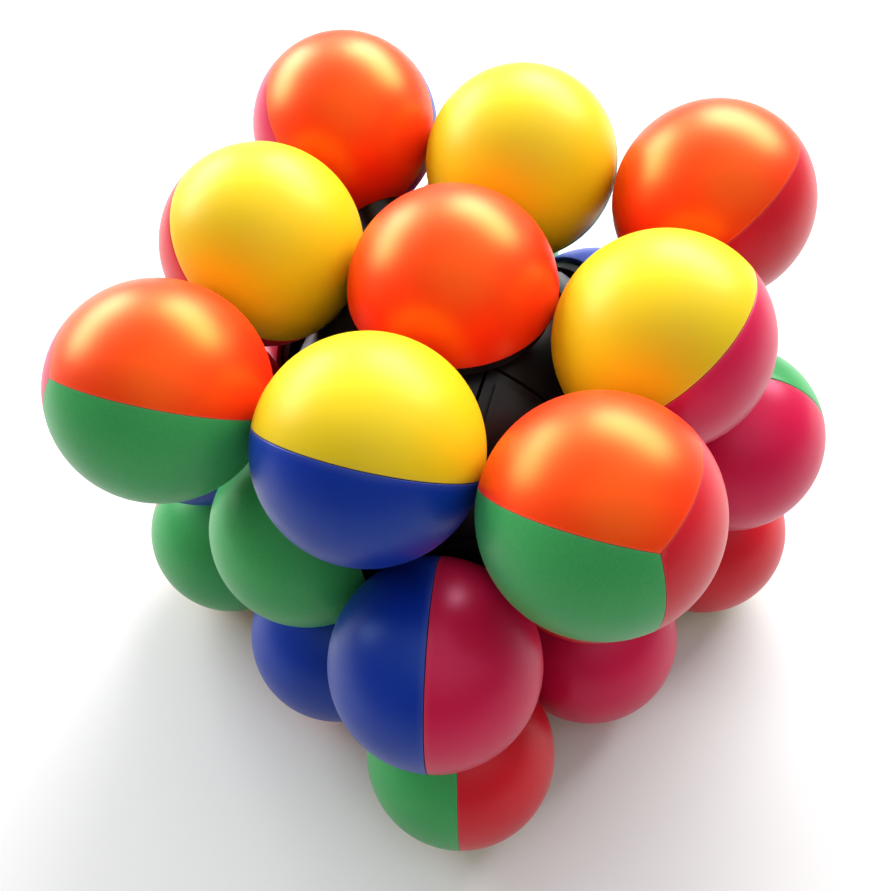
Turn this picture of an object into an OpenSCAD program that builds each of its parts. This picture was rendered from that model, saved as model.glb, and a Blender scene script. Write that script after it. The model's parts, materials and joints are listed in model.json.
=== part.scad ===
// A 3 x 3 x 3 turning puzzle whose pieces are balls, with a black mechanism inside.
// The origin is the centre of the core. +Z is the axis that the top and bottom layers turn about.

/* [Balls] */
// Distance between neighbouring balls (mm)
pitch = 20; // [18:0.5:24]
// Gap between neighbouring balls (mm)
ball_gap = 0.2; // [0.1:0.05:0.4]
// Wall of the coloured shells (mm)
shell_wall = 1.5; // [1.2:0.1:2]
// Gap at the seams between shells (mm)
seam_gap = 0.06; // [0.04:0.01:0.1]

/* [Turned layers] */
// Turn of the top layer from the middle layer (degrees)
top_turn = 29; // [-45:0.5:45]
// Turn of the bottom layer from the middle layer (degrees)
bottom_turn = 3.5; // [-45:0.5:45]

/* [Mechanism] */
// Distance from the centre to the planes that part the outer wings (mm)
wing_cut = 5.4; // [5.2:0.1:5.6]
// Distance from the centre to the planes that part the inner hooks (mm)
hook_cut = 3.4; // [3.3:0.1:3.5]
// Play on each side of a cutting plane (mm)
play = 0.15; // [0.1:0.05:0.2]
// Radius of the neck that carries a ball (mm)
neck_r = 2.8; // [2.6:0.1:2.8]

/* [Screws and springs] */
// Radius of a screw's shank (mm)
screw_r = 1.3; // [1.2:0.05:1.3]
// Radius of a screw's head (mm)
head_r = 2.5; // [2.3:0.1:2.5]
// Radius of the spring's wire (mm)
wire_r = 0.3; // [0.25:0.05:0.35]
// Turns of each spring
spring_turns = 4; // [3:0.5:5]

/* [Hidden] */

SIDES = ["right", "back", "left", "front"];
CORNERS = ["back_right", "back_left", "front_left", "front_right"];
// colours of the side faces, in the order of SIDES: centres and corners, then edges
CORNER_COLOURS = ["crimson", "mediumblue", "deeppink", "forestgreen"];
EDGE_COLOURS = ["deeppink", "forestgreen", "crimson", "mediumblue"];
BLACK = [0.06, 0.06, 0.065];

ball_r = (pitch - ball_gap) / 2;
hub_r = ball_r - shell_wall - 0.1;
edge_reach = pitch * sqrt(2);
corner_reach = pitch * sqrt(3);
corner_tilt = acos(1 / sqrt(3));

// radii of the two sliding levels, from the core's centre
wing_out = 0.94 * pitch;
wing_in = 0.75 * pitch;
hook_out = 0.735 * pitch;
hook_in = 0.56 * pitch;
boss_out = 0.975 * pitch;
boss_cut = 0.33 * pitch;
block_out = 1.09 * pitch;
block_cut = ball_r + ball_gap;
neck_start = 0.71 * pitch;

// the core and the column of a centre, along its axis
core_r = 0.31 * pitch;
arm_r = 0.17 * pitch;
arm_end = 0.5 * pitch;
base_start = 0.515 * pitch;
pocket_floor = 0.71 * pitch;
column_start = 0.765 * pitch;
plate_under = 0.93 * pitch;
tube_r = 0.15 * pitch;
column_r = 0.25 * pitch;
plate_r = ball_r - 0.5;
pocket_r = head_r + 0.4;
running_play = 0.08;

head_under = 0.945 * pitch;
head_h = 1.6;
screw_tip = 0.18 * pitch;
washer_h = 0.4;
recess_w = 0.8;
recess_depth = 1;
spring_r = pocket_r - wire_r - 0.45;
thread_play = 0.02;

far = 2 * pitch;
$fn = 64;

module about_x(sign) {
  rotate([0, 90 * sign, 0]) children();
}

module about_y(sign) {
  rotate([-90 * sign, 0, 0]) children();
}

module hollow_sphere(outer, inner) {
  difference() {
    sphere(r = outer);
    sphere(r = inner);
  }
}

// a block of space: beyond the cutting plane along each axis marked 1, between the two planes along the others
module zone(cut, marks) {
  low = [for (m = marks) m == 1 ? cut + play : play - cut];
  high = [for (m = marks) m == 1 ? far : cut - play];
  translate(low) cube(high - low);
}

// one sliding level of a piece
module level(outer, inner, cut, marks) {
  intersection() {
    hollow_sphere(outer, inner);
    zone(cut, marks);
  }
}

// everything on the far side of a plane through the ball's centre, less half a seam
module half_space() {
  translate([-far / 2, -far / 2, seam_gap / 2]) cube([far, far, far]);
}

// the coloured wall of one ball at a distance along +Z, open where its neck enters
module ball_wall(reach) {
  translate([0, 0, reach])
    difference() {
      hollow_sphere(ball_r, ball_r - shell_wall);
      translate([0, 0, -pitch]) cylinder(h = pitch, r = neck_r + 0.1);
    }
}

// the half of the ball at [1, 0, 1] that faces +Z
module edge_shell() {
  intersection() {
    rotate([0, 45, 0]) ball_wall(edge_reach);
    translate([pitch, 0, pitch]) rotate([0, -45, 0]) half_space();
  }
}

// the third of the ball at [1, 1, 1] that faces +Z
module corner_shell() {
  intersection() {
    rotate([0, corner_tilt, 45]) ball_wall(corner_reach);
    translate([pitch, pitch, pitch]) rotate([0, -45, 0]) half_space();
    translate([pitch, pitch, pitch]) rotate([45, 0, 0]) half_space();
  }
}

// the same half, facing +X
module edge_side_shell() {
  rotate([0, 90, 0]) mirror([1, 0, 0]) edge_shell();
}

// the same third, facing +X and then +Y
module corner_side_shell_x() {
  rotate(a = 120, v = [1, 1, 1]) corner_shell();
}

module corner_side_shell_y() {
  rotate(a = 240, v = [1, 1, 1]) corner_shell();
}

// the black stem and moulded cup that a ball's shells are fixed to, along +Z
module hub(reach) {
  cup = 0.5 * pitch;
  difference() {
    union() {
      translate([0, 0, neck_start]) cylinder(h = reach - neck_start, r = neck_r);
      translate([0, 0, reach]) sphere(r = hub_r);
    }
    translate([-cup / 2, -cup / 2, reach - 0.15 * pitch]) cube([cup, cup, pitch]);
  }
}

// the foot of the edge at [1, 0, 1]: a wing that holds the corners, and a hook held under the centres
module edge_foot() {
  difference() {
    level(wing_out, wing_in, wing_cut, [1, 0, 1]);
    translate([pitch, 0, pitch]) sphere(r = ball_r + 0.15);
  }
  level(hook_out, hook_in, hook_cut, [1, 0, 1]);
  rotate([0, 45, 0]) hub(edge_reach);
}

// the foot of the corner at [1, 1, 1]: a stepped wing under its ball, and a hook held under the edges
module corner_foot() {
  level(wing_out, wing_in, wing_cut, [1, 1, 1]);
  level(boss_out, wing_in, boss_cut, [1, 1, 1]);
  level(block_out, wing_in, block_cut, [1, 1, 1]);
  level(hook_out, hook_in, hook_cut, [1, 1, 1]);
  rotate([0, corner_tilt, 45]) hub(corner_reach);
}

// the centre of the face towards +Z: a tube on the screw, a skirt that holds the edges, and a plate
module centre_base() {
  rotate_extrude()
    polygon([
      [screw_r + running_play, base_start], [tube_r, base_start], [tube_r, column_start],
      [column_r, column_start], [column_r, plate_under],
      [plate_r, plate_under], [plate_r, pitch],
      [pocket_r, pitch], [pocket_r, pocket_floor],
      [screw_r + running_play, pocket_floor]
    ]);
  difference() {
    level(wing_out, wing_in, wing_cut, [0, 0, 1]);
    cylinder(h = far, r = tube_r);
  }
}

// the coloured half-ball on a centre
module dome() {
  translate([0, 0, pitch])
    intersection() {
      hollow_sphere(ball_r, ball_r - shell_wall);
      cylinder(h = pitch, r = pitch);
    }
}

module screw() {
  difference() {
    union() {
      translate([0, 0, screw_tip]) cylinder(h = head_under - screw_tip, r = screw_r);
      translate([0, 0, head_under]) cylinder(h = head_h, r = head_r);
    }
    translate([0, 0, head_under + head_h])
      for (turn = [0, 90])
        rotate([0, 0, turn]) cube([1.4 * head_r, recess_w, 2 * recess_depth], center = true);
  }
}

module washer() {
  translate([0, 0, head_under - washer_h - 0.05])
    difference() {
      cylinder(h = washer_h, r = head_r);
      translate([0, 0, -1]) cylinder(h = washer_h + 2, r = screw_r + running_play);
    }
}

// a round wire swept along a helix, between the pocket's floor and the washer
module spring() {
  low = pocket_floor + wire_r + 0.05;
  high = head_under - washer_h - wire_r - 0.1;
  steps = round(12 * spring_turns);
  sides = 6;
  ring = [for (i = [0:steps], s = [0:sides - 1])
    let (turn = 360 * spring_turns * i / steps, around = 360 * s / sides)
    let (out = spring_r + wire_r * cos(around))
    [out * cos(turn), out * sin(turn), low + (high - low) * i / steps + wire_r * sin(around)]];
  walls = [for (i = [0:steps - 1], s = [0:sides - 1])
    let (a = i * sides + s, b = i * sides + (s + 1) % sides)
    [a, a + sides, b + sides, b]];
  ends = [[for (s = [0:sides - 1]) s], [for (s = [sides - 1:-1:0]) steps * sides + s]];
  polyhedron(points = ring, faces = concat(walls, ends));
}

module core() {
  color(BLACK)
    difference() {
      union() {
        sphere(r = core_r);
        on_faces() cylinder(h = arm_end, r = arm_r);
      }
      on_faces() translate([0, 0, screw_tip - 0.5]) cylinder(h = arm_end, r = screw_r + thread_play);
    }
}

// six copies, one along each axis
module on_faces() {
  children();
  mirror([0, 0, 1]) children();
  for (sign = [-1, 1]) {
    about_x(sign) children();
    about_y(sign) children();
  }
}

module screws() {
  color("silver") on_faces() screw();
}

module washers() {
  color("gray") on_faces() washer();
}

module springs() {
  color("lightgray") on_faces() spring();
}

// a layer's own place: the top one turned, the bottom one mirrored and turned
module in_layer(layer) {
  if (layer == "top") rotate([0, 0, top_turn]) children();
  if (layer == "bottom") rotate([0, 0, bottom_turn]) mirror([0, 0, 1]) children();
}

module on_side(i) {
  rotate([0, 0, 90 * i]) children();
}

// the four caps of a layer that face up, or down in the bottom layer
module corner_caps(layer, shade) {
  color(shade) in_layer(layer) for (i = [0:3]) on_side(i) corner_shell();
}

module edge_caps(layer, shade) {
  color(shade) in_layer(layer) for (i = [0:3]) on_side(i) edge_shell();
}

// the shells of a layer that face one side
module side_corner_shells(layer, i) {
  color(CORNER_COLOURS[i])
    in_layer(layer) {
      on_side(i) corner_side_shell_x();
      on_side(i - 1) corner_side_shell_y();
    }
}

module side_edge_shell(layer, i) {
  color(EDGE_COLOURS[i]) in_layer(layer) on_side(i) edge_side_shell();
}

// an edge of the middle layer stands at [1, 1, 0]; its two halves face +X and +Y
module middle_edge_shells(i) {
  color(EDGE_COLOURS[i]) {
    on_side(i) mirror([0, 1, 0]) rotate([90, 0, 0]) edge_side_shell();
    on_side(i) rotate([90, 0, 0]) edge_side_shell();
  }
}

module layer_edge_foot(layer, i) {
  color(BLACK) in_layer(layer) on_side(i) edge_foot();
}

module middle_edge_foot(i) {
  color(BLACK) on_side(i) mirror([0, 1, 0]) rotate([90, 0, 0]) edge_foot();
}

module layer_corner_foot(layer, i) {
  color(BLACK) in_layer(layer) on_side(i) corner_foot();
}

color("orangered") in_layer("top") dome();  // dome_top
color("gold") in_layer("bottom") dome();  // dome_bottom
corner_caps("top", "orangered");  // top_corner_caps
edge_caps("top", "gold");  // top_edge_caps
corner_caps("bottom", "gold");  // bottom_corner_caps
edge_caps("bottom", "orangered");  // bottom_edge_caps
color(BLACK) in_layer("top") centre_base();  // centre_base_top
color(BLACK) in_layer("bottom") centre_base();  // centre_base_bottom
for (i = [0:3]) {
  color(CORNER_COLOURS[i]) on_side(i) about_x(1) dome();
  color(BLACK) on_side(i) about_x(1) centre_base();
  middle_edge_shells(i);
  middle_edge_foot(i);
  for (layer = ["top", "bottom"]) {
    side_corner_shells(layer, i);
    side_edge_shell(layer, i);
    layer_edge_foot(layer, i);
    layer_corner_foot(layer, i);
  }
}
core();
screws();
washers();
springs();
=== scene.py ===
# %% [markdown]
# # A cube of balls
# The object is a turning puzzle with a ball for every piece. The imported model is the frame: its
# pieces say how big everything is and where it stands. This script makes the coloured shells again
# as finer meshes, gives every piece its plastic or steel, and lights them softly on a pale floor.

# %% The frame
import json
import math

import bmesh
import bpy
from mathutils import Matrix, Vector


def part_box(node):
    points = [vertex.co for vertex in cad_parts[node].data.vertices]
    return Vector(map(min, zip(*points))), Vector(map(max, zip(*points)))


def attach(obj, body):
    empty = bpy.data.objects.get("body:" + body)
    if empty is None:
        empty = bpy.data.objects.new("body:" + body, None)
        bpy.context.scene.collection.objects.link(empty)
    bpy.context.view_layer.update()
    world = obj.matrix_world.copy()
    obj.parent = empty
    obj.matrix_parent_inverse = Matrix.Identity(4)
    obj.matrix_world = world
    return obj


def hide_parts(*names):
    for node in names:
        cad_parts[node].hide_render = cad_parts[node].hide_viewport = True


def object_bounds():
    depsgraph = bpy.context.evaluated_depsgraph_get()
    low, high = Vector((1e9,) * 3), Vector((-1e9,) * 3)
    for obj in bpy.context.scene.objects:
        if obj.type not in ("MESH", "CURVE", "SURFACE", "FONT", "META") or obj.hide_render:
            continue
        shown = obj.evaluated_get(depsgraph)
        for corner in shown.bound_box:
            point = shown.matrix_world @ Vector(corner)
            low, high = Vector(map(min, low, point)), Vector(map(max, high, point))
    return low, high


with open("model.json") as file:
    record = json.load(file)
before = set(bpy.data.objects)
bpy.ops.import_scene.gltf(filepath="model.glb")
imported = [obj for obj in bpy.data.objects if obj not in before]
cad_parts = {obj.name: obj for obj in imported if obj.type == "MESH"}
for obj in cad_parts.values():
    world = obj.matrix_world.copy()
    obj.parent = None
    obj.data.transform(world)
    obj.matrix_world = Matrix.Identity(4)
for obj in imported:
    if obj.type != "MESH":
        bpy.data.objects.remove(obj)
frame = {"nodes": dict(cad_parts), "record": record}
CAD_BOX = [list(corner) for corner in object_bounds()]
MM = 0.001
BODIES = frame["record"]["behaviour"]["bodies"]
print("bodies:", {body: len(nodes) for body, nodes in BODIES.items()})

# %% [markdown]
# ## Measures taken from the frame
# The dome on the right face stands with its flat rim one spacing from the core, and it is as wide
# as a ball. Its box therefore gives the spacing and the ball's radius. A turned layer's box is
# wider than a square one's, and how much wider says how far it is turned.

# %% Spacing, radius and turns
dome_low, dome_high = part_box("dome_right")
PITCH = dome_low[0]
BALL_R = dome_high[1]
RIGHT_ANGLE = math.pi / 2
SIDES = ("right", "back", "left", "front")


def layer_turn(layer):
    boxes = [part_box(f"{layer}_{side}_corner_shells") for side in SIDES]
    half_width = max(high[0] for _, high in boxes)
    reach = (half_width - BALL_R) / (PITCH * math.sqrt(2))
    return math.pi / 4 - math.acos(min(1.0, reach))


TURN = {"top": layer_turn("top"), "middle": 0.0, "bottom": layer_turn("bottom")}
print("spacing", round(PITCH / MM, 3), "mm, ball radius", round(BALL_R / MM, 3), "mm")
print("turns", {name: round(math.degrees(turn), 2) for name, turn in TURN.items()})

# %% [markdown]
# ## The camera
# A camera is a place, a point to look at, a roll and a lens. This one stands a hand's breadth
# above the front right corner and looks steeply down, as one looks at a puzzle held over a table.
# The nearness makes the near balls clearly bigger than the far ones, so the distance matters as
# much as the lens.

# %% Camera
CAMERA_PLACE = Vector((60.09, -47.42, 93.69)) * MM
CAMERA_AIM = Vector((0.26, -2.28, -1.25)) * MM
CAMERA_ROLL = math.radians(-3.79)
LENS_MM = 45.4
SENSOR_MM = 36.0

camera_data = bpy.data.cameras.new("camera")
camera_data.lens = LENS_MM
camera_data.sensor_width = SENSOR_MM
camera_data.clip_start = 1 * MM
camera = bpy.data.objects.new("camera", camera_data)
bpy.context.scene.collection.objects.link(camera)
camera.location = CAMERA_PLACE
camera.rotation_mode = "QUATERNION"
look = (CAMERA_AIM - CAMERA_PLACE).to_track_quat("-Z", "Y")
camera.rotation_quaternion = look @ Matrix.Rotation(CAMERA_ROLL, 3, "Z").to_quaternion()
bpy.context.scene.camera = camera
print("camera is", round((CAMERA_PLACE - CAMERA_AIM).length / MM), "mm from its aim")

# %% [markdown]
# ## Writing shaders as sums
# A node tree for a plastic is mostly small sums on a few noise fields. A wire that knows how to be
# added and multiplied lets those sums be written as ordinary Python, and each sum becomes a Math
# node. Everything else goes through one method that makes any node from its type, settings and
# sockets.

# %% Wires and recipes
class Wire:
    """An output socket that can stand in a sum."""

    def __init__(self, recipe, socket):
        self.recipe = recipe
        self.socket = socket

    def maths(self, operation, first, second):
        return self.recipe.node("ShaderNodeMath", {"operation": operation}, {0: first, 1: second})

    def __add__(self, other):
        return self.maths("ADD", self, other)

    def __sub__(self, other):
        return self.maths("SUBTRACT", self, other)

    def __rsub__(self, other):
        return self.maths("SUBTRACT", other, self)

    def __mul__(self, other):
        return self.maths("MULTIPLY", self, other)

    __radd__ = __add__
    __rmul__ = __mul__


class Recipe:
    """One node tree and the ways to add to it."""

    def __init__(self, tree):
        self.tree = tree
        tree.nodes.clear()

    def node(self, kind, settings=None, sockets=None, output=0):
        made = self.tree.nodes.new(kind)
        for name, value in (settings or {}).items():
            if name == "stops":
                self.set_stops(made.color_ramp, value)
            else:
                setattr(made, name, value)
        for name, value in (sockets or {}).items():
            if isinstance(value, Wire):
                self.tree.links.new(value.socket, made.inputs[name])
            else:
                made.inputs[name].default_value = value
        return Wire(self, made.outputs[output]) if made.outputs else None

    def set_stops(self, ramp, stops):
        while len(ramp.elements) < len(stops):
            ramp.elements.new(1.0)
        for element, (place, colour) in zip(ramp.elements, stops):
            element.position = place
            element.color = colour


def rgba(colour):
    return (*colour, 1.0)


def between(recipe, factor, first, second):
    """A colour that goes from the first to the second as the factor goes from 0 to 1."""
    a, b = (c if isinstance(c, Wire) else rgba(c) for c in (first, second))
    return recipe.node("ShaderNodeMix", {"data_type": "RGBA"}, {0: factor, 6: a, 7: b}, output=2)


print("shader helpers ready")

# %% [markdown]
# ## Moulded plastic
# The shells are coloured all through, so the colour varies only a little: a slow cloudiness from
# the melt, and a fine grain from the mould's skin. The same two fields move the roughness, and the
# grain is also a very shallow bump. The satin shine could be painted on, but it comes from the
# lights and three settings: the roughness, the strength of the shine, and the tint that it takes
# from the plastic. Along a seam the colour is painted a little paler. This is a painted highlight
# where the rounded lip of the moulding catches the light, and an attribute on the mesh marks that
# band.

# %% Shell plastic
GRAIN_SCALE = 5200.0
CLOUD_SCALE = 70.0
CLOUD_SHARE = 0.5
GRAIN_GAIN = 8.0
CLOUD_ROUGHNESS = 0.06
GRAIN_ROUGHNESS = 0.04
GRAIN_BUMP = 0.12
BUMP_DEPTH = 0.02 * MM
# The next two paint a paler colour along every seam: a painted highlight where the rounded lip
# catches the light.
PAINTED_SEAM_HIGHLIGHT = (1.0, 0.9, 0.8)
PAINTED_SEAM_HIGHLIGHT_SHARE = 0.04


def plastic(name, colour, deep, roughness, shine, shine_tint, grain_depth=0.06):
    """A moulded plastic whose colour drifts between two shades, with a tinted satin shine."""
    material = bpy.data.materials.new(name)
    material.use_nodes = True
    r = Recipe(material.node_tree)
    place = r.node("ShaderNodeTexCoord", output=3)
    noise = {"Vector": place, "Detail": 2.0, "Roughness": 0.5}
    cloud = r.node("ShaderNodeTexNoise", None, {**noise, "Scale": CLOUD_SCALE})
    grain = r.node("ShaderNodeTexNoise", None, {**noise, "Scale": GRAIN_SCALE})
    shade = cloud * CLOUD_SHARE + grain * grain_depth * GRAIN_GAIN - grain_depth * GRAIN_GAIN / 2
    body = between(r, shade, deep, colour)
    seam = r.node("ShaderNodeAttribute", {"attribute_name": "seam"}, output=2)
    # The colour is painted paler along the seams, a painted highlight on the rounded lip.
    tint = between(r, seam * PAINTED_SEAM_HIGHLIGHT_SHARE, body, PAINTED_SEAM_HIGHLIGHT)
    skin = {"Height": grain, "Strength": GRAIN_BUMP, "Distance": BUMP_DEPTH}
    mean_change = (CLOUD_ROUGHNESS + GRAIN_ROUGHNESS) / 2
    change = cloud * CLOUD_ROUGHNESS + grain * GRAIN_ROUGHNESS
    surface = r.node(
        "ShaderNodeBsdfPrincipled",
        None,
        {
            "Base Color": tint,
            "Roughness": change + (roughness - mean_change),
            "Normal": r.node("ShaderNodeBump", None, skin),
            "Specular IOR Level": shine,
            "Specular Tint": rgba(shine_tint),
        },
    )
    r.node("ShaderNodeOutputMaterial", None, {"Surface": surface})
    return material


COLOURS = {
    "orange_shell": {
        "colour": (0.85, 0.02, 0.003),
        "deep": (0.79, 0.015, 0.003),
        "roughness": 0.4,
        "shine": 1.0,
        "shine_tint": (1.0, 0.8, 0.08),
    },
    "yellow_shell": {
        "colour": (0.7, 0.515, 0.009),
        "deep": (0.66, 0.465, 0.007),
        "roughness": 0.42,
        "shine": 0.4,
        "shine_tint": (1.0, 0.9, 0.4),
    },
    "green_shell": {
        "colour": (0.055, 0.36, 0.1),
        "deep": (0.033, 0.27, 0.07),
        "roughness": 0.38,
        "shine": 0.3,
        "shine_tint": (0.6, 1.0, 0.7),
        "grain_depth": 0.1,
    },
    "blue_shell": {
        "colour": (0.002, 0.03, 0.33),
        "deep": (0.002, 0.02, 0.26),
        "roughness": 0.38,
        "shine": 0.42,
        "shine_tint": (0.4, 0.68, 1.0),
        "grain_depth": 0.1,
    },
    "red_shell": {
        "colour": (0.59, 0.006, 0.016),
        "deep": (0.49, 0.004, 0.012),
        "roughness": 0.36,
        "shine": 0.38,
        "shine_tint": (1.0, 0.55, 0.6),
    },
    "pink_shell": {
        "colour": (0.6, 0.006, 0.062),
        "deep": (0.5, 0.004, 0.044),
        "roughness": 0.36,
        "shine": 0.38,
        "shine_tint": (1.0, 0.5, 0.8),
    },
}
SHELLS = {name: plastic(name, **row) for name, row in COLOURS.items()}
print("shell plastics:", ", ".join(SHELLS))

# %% [markdown]
# ## Black plastic and steel
# The mechanism is black plastic, rubbed by the parts that slide on each other, so its roughness
# varies in patches. It could be one flat black, but then its steps would be lost in the gaps. The
# screws, washers and springs are steel: metallic, with a fine stretched noise for the marks of
# turning and drawing.

# %% Black plastic and steel
RUB_SCALE = 120.0
MOULD_SCALE = 3800.0
MOULD_BUMP = 0.1
RUB_SHARE = 0.5
RUB_ROUGHNESS = 0.12
BLACK_SHINE = 0.22
DUST_GAIN = 1.6
DUST_GREY = 0.002
TOOL_SCALE = 2400.0
TOOL_ROUGHNESS = 0.2
TOOL_SHADE = 0.7


def black_plastic(name, colour, roughness):
    """A black plastic with dusty, rubbed patches."""
    material = bpy.data.materials.new(name)
    material.use_nodes = True
    r = Recipe(material.node_tree)
    place = r.node("ShaderNodeTexCoord", output=3)
    rub = r.node("ShaderNodeTexNoise", None, {"Vector": place, "Scale": RUB_SCALE, "Detail": 2.0})
    fine = r.node("ShaderNodeTexNoise", None, {"Vector": place, "Scale": MOULD_SCALE, "Detail": 2.0})
    dusty = tuple(DUST_GAIN * c + DUST_GREY for c in colour)
    skin = {"Height": fine, "Strength": MOULD_BUMP, "Distance": BUMP_DEPTH}
    surface = r.node(
        "ShaderNodeBsdfPrincipled",
        None,
        {
            "Base Color": between(r, rub * RUB_SHARE, colour, dusty),
            "Roughness": rub * RUB_ROUGHNESS + (roughness - RUB_ROUGHNESS / 2),
            "Normal": r.node("ShaderNodeBump", None, skin),
            "Specular IOR Level": BLACK_SHINE,
        },
    )
    r.node("ShaderNodeOutputMaterial", None, {"Surface": surface})
    return material


def steel(name, colour, roughness, stretch):
    """A steel whose tool marks are stretched along the axes."""
    material = bpy.data.materials.new(name)
    material.use_nodes = True
    r = Recipe(material.node_tree)
    place = r.node("ShaderNodeTexCoord", output=3)
    drawn = r.node("ShaderNodeMapping", None, {"Vector": place, "Scale": stretch})
    marks = r.node("ShaderNodeTexNoise", None, {"Vector": drawn, "Scale": TOOL_SCALE, "Detail": 3.0})
    darker = tuple(TOOL_SHADE * c for c in colour)
    surface = r.node(
        "ShaderNodeBsdfPrincipled",
        None,
        {
            "Base Color": between(r, marks, darker, colour),
            "Roughness": marks * TOOL_ROUGHNESS + (roughness - TOOL_ROUGHNESS / 2),
            "Metallic": 1.0,
        },
    )
    r.node("ShaderNodeOutputMaterial", None, {"Surface": surface})
    return material


FINISH = {
    **SHELLS,
    "black_plastic": black_plastic("black_plastic", (0.005, 0.004, 0.005), 0.34),
    "core_plastic": black_plastic("core_plastic", (0.012, 0.012, 0.013), 0.5),
    "screw_steel": steel("screw_steel", (0.62, 0.62, 0.64), 0.3, (1, 1, 6)),
    "spring_steel": steel("spring_steel", (0.5, 0.5, 0.52), 0.34, (4, 4, 1)),
}
SLOT = {row["node"]: row["material_slot"] for row in frame["record"]["subparts"]}
for node_name, node_object in frame["nodes"].items():
    node_object.data.materials.clear()
    node_object.data.materials.append(FINISH[SLOT[node_name]])
print("finishes:", len(FINISH), "on", len(SLOT), "nodes")

# %% [markdown]
# ## Half a ball
# A dome, and each half of an edge ball, is half a hollow ball that was moulded with an open rim.
# It could be a sphere cut in two, but a lathe gives cleaner faces: a profile of the wall is turned
# once round an axis, and every ring of faces runs parallel to the rim. The rim's outer edge is
# rounded a little in the profile itself, as a mould leaves it, and that is what makes two halves
# show a seam.

# %% Turning a profile
WALL = 1.5 * MM
RIM_ROUND = 0.1 * MM
# Width of the band along a rim that gets the painted seam highlight.
PAINTED_SEAM_HIGHLIGHT_WIDTH = 0.16 * MM
TURN_STEPS = 96
PROFILE_STEPS = 28
ROUND_STEPS = 4
ON_AXIS = 0.01 * MM


def half_ball_profile():
    """Distance from the axis and height, from the outer pole over the rim to the inner pole."""
    rim = RIGHT_ANGLE - RIM_ROUND / BALL_R
    outer = [rim * i / PROFILE_STEPS for i in range(PROFILE_STEPS + 1)]
    points = [(BALL_R * math.sin(a), BALL_R * math.cos(a)) for a in outer]
    for i in range(1, ROUND_STEPS + 1):
        a = RIGHT_ANGLE * i / ROUND_STEPS
        points.append((BALL_R - RIM_ROUND * (1 - math.cos(a)), RIM_ROUND * (1 - math.sin(a))))
    inner_r = BALL_R - WALL
    inner = [RIGHT_ANGLE * i / PROFILE_STEPS for i in range(PROFILE_STEPS, -1, -1)]
    return points + [(inner_r * math.sin(a), inner_r * math.cos(a)) for a in inner]


def lathe(profile, name):
    """Turn a profile whose two ends are on the axis once round +Z."""
    bm = bmesh.new()
    seam = bm.verts.layers.float.new("seam")
    rows = []
    for out, up in profile:
        count = TURN_STEPS if out > ON_AXIS else 1
        ring = [2 * math.pi * j / count for j in range(count)]
        row = [bm.verts.new((out * math.cos(a), out * math.sin(a), up)) for a in ring]
        for vert in row:
            # How strongly the painted seam highlight lies on this ring, which is strongest at the
            # rim.
            vert[seam] = max(0.0, 1 - up / PAINTED_SEAM_HIGHLIGHT_WIDTH)
        rows.append(row)
    for above, below in zip(rows, rows[1:]):
        for j in range(TURN_STEPS):
            k = (j + 1) % TURN_STEPS
            if len(above) == 1:
                corners = [above[0], below[j], below[k]]
            elif len(below) == 1:
                corners = [above[j], below[0], above[k]]
            else:
                corners = [above[j], below[j], below[k], above[k]]
            bm.faces.new(corners)
    for face in bm.faces:
        face.smooth = True
    mesh = bpy.data.meshes.new(name)
    bm.to_mesh(mesh)
    bm.free()
    return mesh


WALLS = {"dome": lathe(half_ball_profile(), "dome_wall")}
print("dome wall:", len(WALLS["dome"].polygons), "faces")

# %% [markdown]
# ## The notch for the neck
# An edge ball is held by a black neck that enters where its two halves meet, so each half has a
# half round notch in its rim. Cutting a pin's shape out of the dome with a Boolean is the direct
# way, and it's done once, because every half is a copy of the same mesh.

# %% Notched half
NECK_HOLE_R = 2.9 * MM
PIN_SIDES = 48


def notched_half():
    """A dome with its pole on +X and a notch in its rim at -Z."""
    mesh = WALLS["dome"].copy()
    mesh.name = "edge_wall"
    mesh.transform(Matrix.Rotation(RIGHT_ANGLE, 4, "Y"))
    half = bpy.data.objects.new("half_blank", mesh)
    pin_bm = bmesh.new()
    bmesh.ops.create_cone(
        pin_bm,
        cap_ends=True,
        segments=PIN_SIDES,
        radius1=NECK_HOLE_R,
        radius2=NECK_HOLE_R,
        depth=BALL_R,
    )
    pin_mesh = bpy.data.meshes.new("neck_pin")
    pin_bm.to_mesh(pin_mesh)
    pin_bm.free()
    pin_mesh.transform(Matrix.Translation((0, 0, -BALL_R)))
    pin = bpy.data.objects.new("neck_pin", pin_mesh)
    for blank in (half, pin):
        bpy.context.scene.collection.objects.link(blank)
    cut = half.modifiers.new("neck", "BOOLEAN")
    cut.object = pin
    cut.operation = "DIFFERENCE"
    cut.solver = "EXACT"
    bpy.context.view_layer.update()
    evaluated = half.evaluated_get(bpy.context.evaluated_depsgraph_get())
    result = bpy.data.meshes.new_from_object(evaluated)
    for blank in (half, pin):
        bpy.data.objects.remove(blank)
    return result


WALLS["edge"] = notched_half()
print("edge wall:", len(WALLS["edge"].polygons), "faces")

# %% [markdown]
# ## A third of a ball
# A corner ball is in three parts whose seams meet at the point furthest from the core. Each part
# is a wall swept a third of the way round the axis through that point, so here the grid's pole is
# put where the three meet, and the grid's open end makes the hole for the neck. A Bevel modifier
# rounds the edges, since these seams run along the grid's meridians.

# %% Swept third
SWEEP = 2 * math.pi / 3
SWEEP_STEPS = 32
POLAR_STEPS = 44
NEAR_SEAM = tuple(math.radians(a) for a in (0.0, 0.5, 1.1, 2.0))


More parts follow.
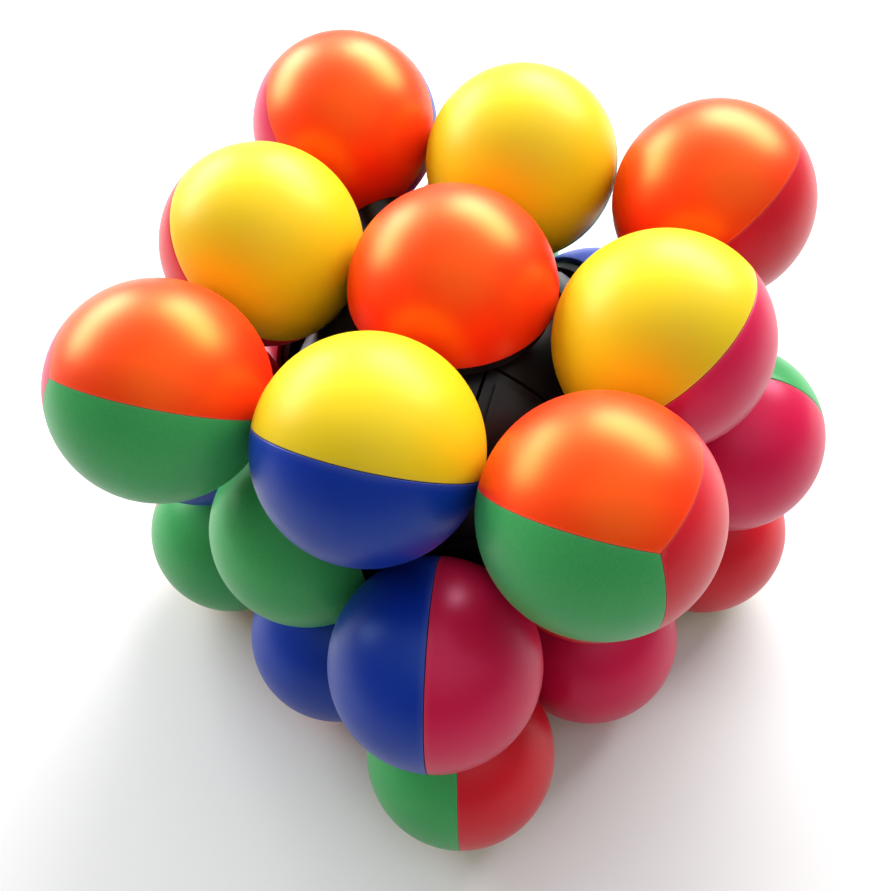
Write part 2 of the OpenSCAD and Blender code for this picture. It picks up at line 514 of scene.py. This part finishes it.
def swept_third():
    """A wall about +Z from the pole down to the neck hole, its middle facing +X."""
    inner_angles = [SWEEP * i / SWEEP_STEPS for i in range(1, SWEEP_STEPS)]
    angles = [*NEAR_SEAM, *inner_angles, *(SWEEP - a for a in reversed(NEAR_SEAM))]
    angles = [a - SWEEP / 2 for a in angles]
    bm = bmesh.new()
    seam = bm.verts.layers.float.new("seam")

    def grid(radius):
        polar_end = math.pi - math.asin(NECK_HOLE_R / radius)
        pole = bm.verts.new((0, 0, radius))
        # The pole, where three seams meet, gets the full painted seam highlight.
        pole[seam] = 1.0
        columns = [[pole] for _ in angles]
        for i in range(1, POLAR_STEPS + 1):
            polar = polar_end * i / POLAR_STEPS
            out = radius * math.sin(polar)
            for angle, column in zip(angles, columns):
                place = (out * math.cos(angle), out * math.sin(angle), radius * math.cos(polar))
                vert = bm.verts.new(place)
                # How strongly the painted seam highlight lies here, which is strongest at a seam.
                from_seam = out * math.sin(SWEEP / 2 - abs(angle))
                vert[seam] = max(0.0, 1 - from_seam / PAINTED_SEAM_HIGHLIGHT_WIDTH)
                column.append(vert)
        return columns

    def strip(left, right):
        for i in range(POLAR_STEPS):
            ring = [left[i], left[i + 1], right[i + 1]]
            if left[i] != right[i]:
                ring.append(right[i])
            bm.faces.new(ring)

    outer, inner = grid(BALL_R), grid(BALL_R - WALL)
    for left, right in zip(outer, outer[1:]):
        strip(left, right)
    for left, right in zip(inner, inner[1:]):
        strip(right, left)
    strip(inner[0], outer[0])
    strip(outer[-1], inner[-1])
    for j in range(len(angles) - 1):
        bm.faces.new([outer[j][-1], inner[j][-1], inner[j + 1][-1], outer[j + 1][-1]])
    for face in bm.faces:
        face.smooth = True
    mesh = bpy.data.meshes.new("corner_wall")
    bm.to_mesh(mesh)
    bm.free()
    return mesh


WALLS["corner"] = swept_third()
print("corner wall:", len(WALLS["corner"].polygons), "faces")

# %% [markdown]
# ## Where each shell goes
# A shell's frame has +Z out along the ball's axis, and +X towards the side of the ball that the
# shell covers. For a corner that side is one of the three faces that it belongs to, and for an
# edge one of two. The face's direction, squared up to the axis, gives +X, so a list of ball places
# and faces is enough to set every shell in its place. Each shell is also moved half a seam towards
# its face, so a fine dark line shows where two of them meet.

# %% Placing a shell
SEAM_GAP = 0.05 * MM
SHARP_ANGLE = math.radians(35)
BEVEL_SEGMENTS = 3
SAME_WAY = 0.01
BODY = {node: body for body, nodes in BODIES.items() for node in nodes}


def spun(vector, angle):
    return Matrix.Rotation(angle, 3, "Z") @ Vector(vector)


def shell_frame(place, face):
    """A matrix that sets a wall on the ball at a lattice place, turned to cover one face."""
    axis = Vector(place).normalized()
    across = Vector(face) - axis * Vector(face).dot(axis)
    across = (across if across.length > SAME_WAY else axis.orthogonal()).normalized()
    side = axis.cross(across)
    turn = Matrix((across, side, axis)).transposed()
    return Matrix.Translation(Vector(place) * PITCH) @ turn.to_4x4()


def shell_piece(node_name, kind, spots, turn):
    """One object made of a node's shells: a spot is a ball's place and the face that it covers."""
    bm = bmesh.new()
    layer = Matrix.Rotation(turn, 4, "Z")
    for place, face in spots:
        shift = Vector((0, 0, 0))
        if kind != "dome":
            shift = shell_frame(place, face).to_3x3() @ Vector((SEAM_GAP / 2, 0, 0))
        copy = WALLS[kind].copy()
        copy.transform(layer @ Matrix.Translation(shift) @ shell_frame(place, face))
        bm.from_mesh(copy)
        bpy.data.meshes.remove(copy)
    mesh = bpy.data.meshes.new(node_name + "_finish")
    bm.to_mesh(mesh)
    bm.free()
    mesh.materials.append(FINISH[SLOT[node_name]])
    piece = bpy.data.objects.new(node_name + "_finish", mesh)
    bpy.context.scene.collection.objects.link(piece)
    if kind == "corner":
        edge = piece.modifiers.new("rounded_edges", "BEVEL")
        edge.width = RIM_ROUND
        edge.segments = BEVEL_SEGMENTS
        edge.limit_method = "ANGLE"
        edge.angle_limit = SHARP_ANGLE
        edge.harden_normals = True
    else:
        mesh.set_sharp_from_angle(angle=SHARP_ANGLE)
    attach(piece, BODY[node_name])
    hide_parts(node_name)


first_corner = shell_frame((1, 1, 1), (0, 0, 1)).to_translation() / MM
print("a corner ball's centre:", [round(x, 2) for x in first_corner], "mm")

# %% [markdown]
# ## All the shells
# The faces are numbered round the puzzle from the right one. A layer has a corner between each
# pair of neighbouring sides and an edge on each side. The bottom layer is the top one upside down,
# and the middle layer has only the four edges between the sides.

# %% Shells of every layer
UP = Vector((0, 0, 1))
OUT = [tuple(round(x) for x in spun((1, 0, 0), RIGHT_ANGLE * i)) for i in range(4)]


def corner_place(i, up):
    return Vector(OUT[i]) + Vector(OUT[(i + 1) % 4]) + UP * up


made = 0
for layer, up in (("top", 1), ("bottom", -1)):
    turn = TURN[layer]
    cap = UP * up
    shell_piece("dome_" + layer, "dome", [(cap, cap)], turn)
    corner_caps = [(corner_place(i, up), cap) for i in range(4)]
    shell_piece(layer + "_corner_caps", "corner", corner_caps, turn)
    edge_caps = [(Vector(OUT[i]) + cap, cap) for i in range(4)]
    shell_piece(layer + "_edge_caps", "edge", edge_caps, turn)
    made += 3
    for i, side in enumerate(SIDES):
        corners = [(corner_place(i, up), OUT[i]), (corner_place(i - 1, up), OUT[i])]
        shell_piece(f"{layer}_{side}_corner_shells", "corner", corners, turn)
        edge = [(Vector(OUT[i]) + cap, OUT[i])]
        shell_piece(f"{layer}_{side}_edge_shell", "edge", edge, turn)
        made += 2
for i, side in enumerate(SIDES):
    halves = [(corner_place(i, 0), OUT[i]), (corner_place(i - 1, 0), OUT[i])]
    shell_piece(f"middle_{side}_edge_shells", "edge", halves, TURN["middle"])
    shell_piece("dome_" + side, "dome", [(Vector(OUT[i]), OUT[i])], TURN["middle"])
    made += 2
print("shell pieces:", made)

# %% [markdown]
# ## The floor
# The puzzle stands on its bottom balls on a wide pale table, which also throws light back up under
# them. One large square does for it, at the height of the lowest points of the frame's box.

# %% Floor
FLOOR_HALF = 3.0
FLOOR_GREY = 0.59
FLOOR_ROUGHNESS = 0.8
FLOOR_SHINE = 0.2
floor_z = CAD_BOX[0][2]
floor_mesh = bpy.data.meshes.new("floor")
signs = [(-1, -1), (1, -1), (1, 1), (-1, 1)]
floor_corners = [(FLOOR_HALF * x, FLOOR_HALF * y, floor_z) for x, y in signs]
floor_mesh.from_pydata(floor_corners, [], [(0, 1, 2, 3)])
floor = bpy.data.objects.new("floor", floor_mesh)
bpy.context.scene.collection.objects.link(floor)
floor_material = bpy.data.materials.new("pale_floor")
floor_material.use_nodes = True
floor_recipe = Recipe(floor_material.node_tree)
floor_surface = floor_recipe.node(
    "ShaderNodeBsdfPrincipled",
    None,
    {
        "Base Color": rgba((FLOOR_GREY,) * 3),
        "Roughness": FLOOR_ROUGHNESS,
        "Specular IOR Level": FLOOR_SHINE,
    },
)
floor_recipe.node("ShaderNodeOutputMaterial", None, {"Surface": floor_surface})
floor_mesh.materials.append(floor_material)
print("floor at", round(floor_z / MM, 2), "mm")

# %% [markdown]
# ## Soft boxes
# Two strong soft boxes stand behind and to the left, and leave two soft highlights near the top of
# every ball. A dim, wide one between them joins the two highlights, and another dim one high on
# the right lifts the shade there. Area lights are used because their size sets how soft a
# highlight is.

# %% Soft boxes
BOX_DISTANCE = 0.42


def soft_box(name, azimuth, elevation, size, power):
    """A soft box seen from the puzzle at an azimuth from the front towards the right, in degrees."""
    a, e = math.radians(azimuth), math.radians(elevation)
    direction = Vector((math.sin(a) * math.cos(e), -math.cos(a) * math.cos(e), math.sin(e)))
    data = bpy.data.lights.new(name, "AREA")
    data.shape = "RECTANGLE"
    data.size, data.size_y = size
    data.energy = power
    light = bpy.data.objects.new(name, data)
    light.location = direction * BOX_DISTANCE
    light.rotation_mode = "QUATERNION"
    light.rotation_quaternion = (-direction).to_track_quat("-Z", "Y")
    bpy.context.scene.collection.objects.link(light)


soft_box("back_box", azimuth=-163, elevation=38, size=(0.4, 0.17), power=3.6)
soft_box("left_box", azimuth=-79, elevation=26, size=(0.36, 0.15), power=2.4)
soft_box("wall_glow", azimuth=-121, elevation=34, size=(0.5, 0.3), power=0.9)
soft_box("right_box", azimuth=85, elevation=60, size=(0.5, 0.5), power=0.6)

# %% [markdown]
# ## The sky
# The room round the table is a grey that depends only on height: bright overhead, dim a little
# above the horizon, and paler again at the horizon itself, where the floor ends. An evenly white
# sky would be simpler, but it would fill the shade under the overhanging layers. A ramp on the
# direction's height does it.

# %% Sky
SKY_GREYS = ((0.5, 0.5), (0.56, 0.3), (0.64, 0.22), (0.75, 0.3), (0.93, 0.8), (1.0, 0.9))
SKY_STRENGTH = 0.88

world = bpy.data.worlds.new("room")
bpy.context.scene.world = world
world.use_nodes = True
sky = Recipe(world.node_tree)
direction = sky.node("ShaderNodeTexCoord", output=0)
height = sky.node("ShaderNodeSeparateXYZ", None, {0: direction}, output=2)
shade = sky.node(
    "ShaderNodeValToRGB",
    {"stops": [(place, rgba((grey,) * 3)) for place, grey in SKY_GREYS]},
    {0: height * 0.5 + 0.5},
)
sky_light = sky.node("ShaderNodeBackground", None, {"Color": shade, "Strength": SKY_STRENGTH})
sky.node("ShaderNodeOutputWorld", None, {"Surface": sky_light})
bpy.context.scene.view_settings.view_transform = "Standard"
print("sky greys from horizon to zenith:", [grey for _, grey in SKY_GREYS])

# %% [markdown]
# ## The end
# The finer shells must be as big as the imported ones. The frame's box was measured before anything
# was made; this last cell only brings the scene up to date.

# %% The end
bpy.context.view_layer.update()
